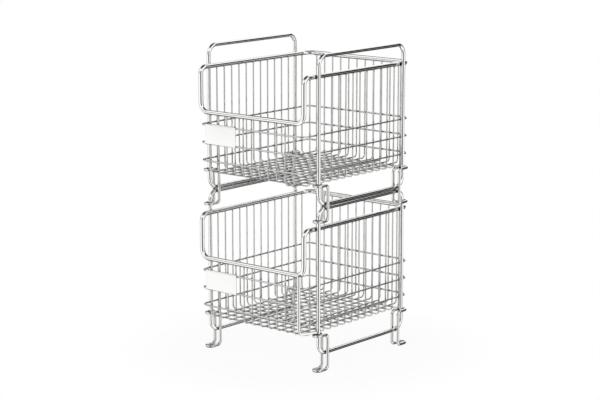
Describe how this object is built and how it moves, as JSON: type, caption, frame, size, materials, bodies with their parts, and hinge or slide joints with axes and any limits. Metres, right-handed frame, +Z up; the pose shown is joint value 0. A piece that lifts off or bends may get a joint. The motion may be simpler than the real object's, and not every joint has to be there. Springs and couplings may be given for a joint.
{
  "type": "stacking wire storage rack",
  "caption": "Stacking stainless wire baskets with lowered fronts, upright handle frames and looped feet that straddle the handles below.",
  "frame": {"origin": "on the floor under the middle of the stack's outline", "axes": "+Z up, -Y toward the lowered fronts, +X to the right seen from the front"},
  "size_m": [0.2748, 0.3138, 0.5622],
  "materials": {
    "frame": "polished stainless rod",
    "rim": "polished stainless rod",
    "wire": "polished stainless wire",
    "foot": "polished stainless rod",
    "label_plate": "plain pale steel sheet"
  },
  "bodies": {
    "lower_basket": {"lower_crosswise_wire_01": "wire", "lower_crosswise_wire_02": "wire", "lower_crosswise_wire_03": "wire", "lower_crosswise_wire_04": "wire", "lower_crosswise_wire_05": "wire", "lower_crosswise_wire_06": "wire", "lower_crosswise_wire_07": "wire", "lower_crosswise_wire_08": "wire", "lower_crosswise_wire_09": "wire", "lower_crosswise_wire_10": "wire", "lower_crosswise_wire_11": "wire", "lower_crosswise_wire_12": "wire", "lower_crosswise_wire_13": "wire", "lower_crosswise_wire_14": "wire", "lower_lengthwise_wires": "wire", "lower_middle_hoop": "wire", "lower_top_hoop": "wire", "lower_rim": "rim", "lower_left_frame": "frame", "lower_left_front_foot": "foot", "lower_left_back_foot": "foot", "lower_right_frame": "frame", "lower_right_front_foot": "foot", "lower_right_back_foot": "foot", "lower_label_plate": "label_plate", "lower_front_stay": "frame"},
    "upper_basket": {"upper_crosswise_wire_01": "wire", "upper_crosswise_wire_02": "wire", "upper_crosswise_wire_03": "wire", "upper_crosswise_wire_04": "wire", "upper_crosswise_wire_05": "wire", "upper_crosswise_wire_06": "wire", "upper_crosswise_wire_07": "wire", "upper_crosswise_wire_08": "wire", "upper_crosswise_wire_09": "wire", "upper_crosswise_wire_10": "wire", "upper_crosswise_wire_11": "wire", "upper_crosswise_wire_12": "wire", "upper_crosswise_wire_13": "wire", "upper_crosswise_wire_14": "wire", "upper_lengthwise_wires": "wire", "upper_middle_hoop": "wire", "upper_top_hoop": "wire", "upper_rim": "rim", "upper_left_frame": "frame", "upper_left_front_foot": "foot", "upper_left_back_foot": "foot", "upper_right_frame": "frame", "upper_right_front_foot": "foot", "upper_right_back_foot": "foot", "upper_label_plate": "label_plate"}
  },
  "joints": [
    {"name": "upper_lift", "type": "slide", "parent": "lower_basket", "child": "upper_basket", "axis": [0, 0, 1], "range_m": [0, 0.1]}
  ]
}
